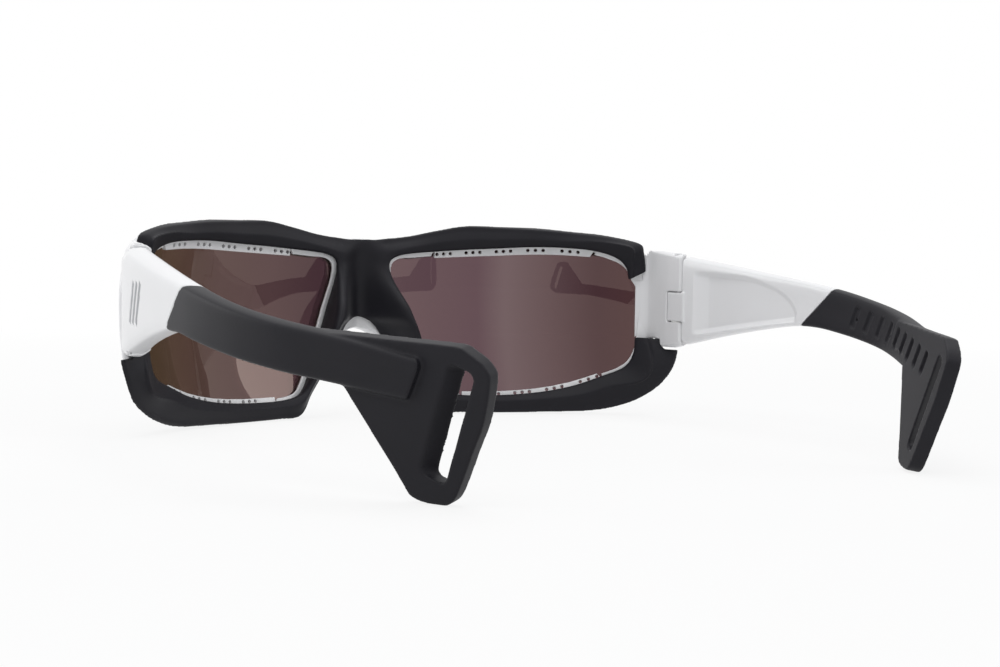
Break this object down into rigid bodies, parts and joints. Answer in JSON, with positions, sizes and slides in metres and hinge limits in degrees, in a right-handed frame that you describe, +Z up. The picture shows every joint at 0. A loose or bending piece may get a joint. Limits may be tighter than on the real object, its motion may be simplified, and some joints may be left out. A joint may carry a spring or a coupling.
{
  "type": "sports_sunglasses",
  "caption": "White wrap sports sunglasses with a charcoal face shell and nose saddle, brown lenses, vented rims and folding temples whose tips end in slotted strap paddles",
  "frame": {"origin": "on the resting plane, under the middle of the bounding box", "axes": "+X is the wearer's left, the front of the glasses faces -Y, +Z is up; temples open at rest"},
  "size_m": [0.1512, 0.1586, 0.0471],
  "materials": {
    "white_nylon": "satin gloss white nylon",
    "charcoal_rubber": "soft-touch matte charcoal elastomer",
    "brown_lens": "brown tinted lens with a soft mirror",
    "grey_inlay": "satin grey inlay bars",
    "hinge_steel": "turned stainless steel",
    "hinge_brass": "knurled brass",
    "washer_nylon": "natural nylon"
  },
  "bodies": {
    "front": {"front_frame": "white_nylon", "face_shell": "charcoal_rubber", "lens_left": "brown_lens", "lens_right": "brown_lens", "vent_strip_top_left": "white_nylon", "vent_strip_top_right": "white_nylon", "vent_strip_bottom_left": "white_nylon", "vent_strip_bottom_right": "white_nylon", "hinge_screw_left": "hinge_steel", "hinge_screw_right": "hinge_steel", "hinge_insert_left": "hinge_brass", "hinge_insert_right": "hinge_brass", "hinge_washer_left": "washer_nylon", "hinge_washer_right": "washer_nylon"},
    "left_arm": {"temple_left": "white_nylon", "temple_tip_left": "charcoal_rubber", "temple_inlay_left": "grey_inlay"},
    "right_arm": {"temple_right": "white_nylon", "temple_tip_right": "charcoal_rubber", "temple_inlay_right": "grey_inlay"}
  },
  "joints": [
    {"name": "temple_left_fold", "type": "hinge", "parent": "front", "child": "left_arm", "pos_m": [0.0678, -0.03317, 0.0277], "axis": [0, 0, 1], "range_deg": [0, 86]},
    {"name": "temple_right_fold", "type": "hinge", "parent": "front", "child": "right_arm", "pos_m": [-0.0678, -0.03317, 0.0277], "axis": [0, 0, -1], "range_deg": [0, 74]}
  ]
}
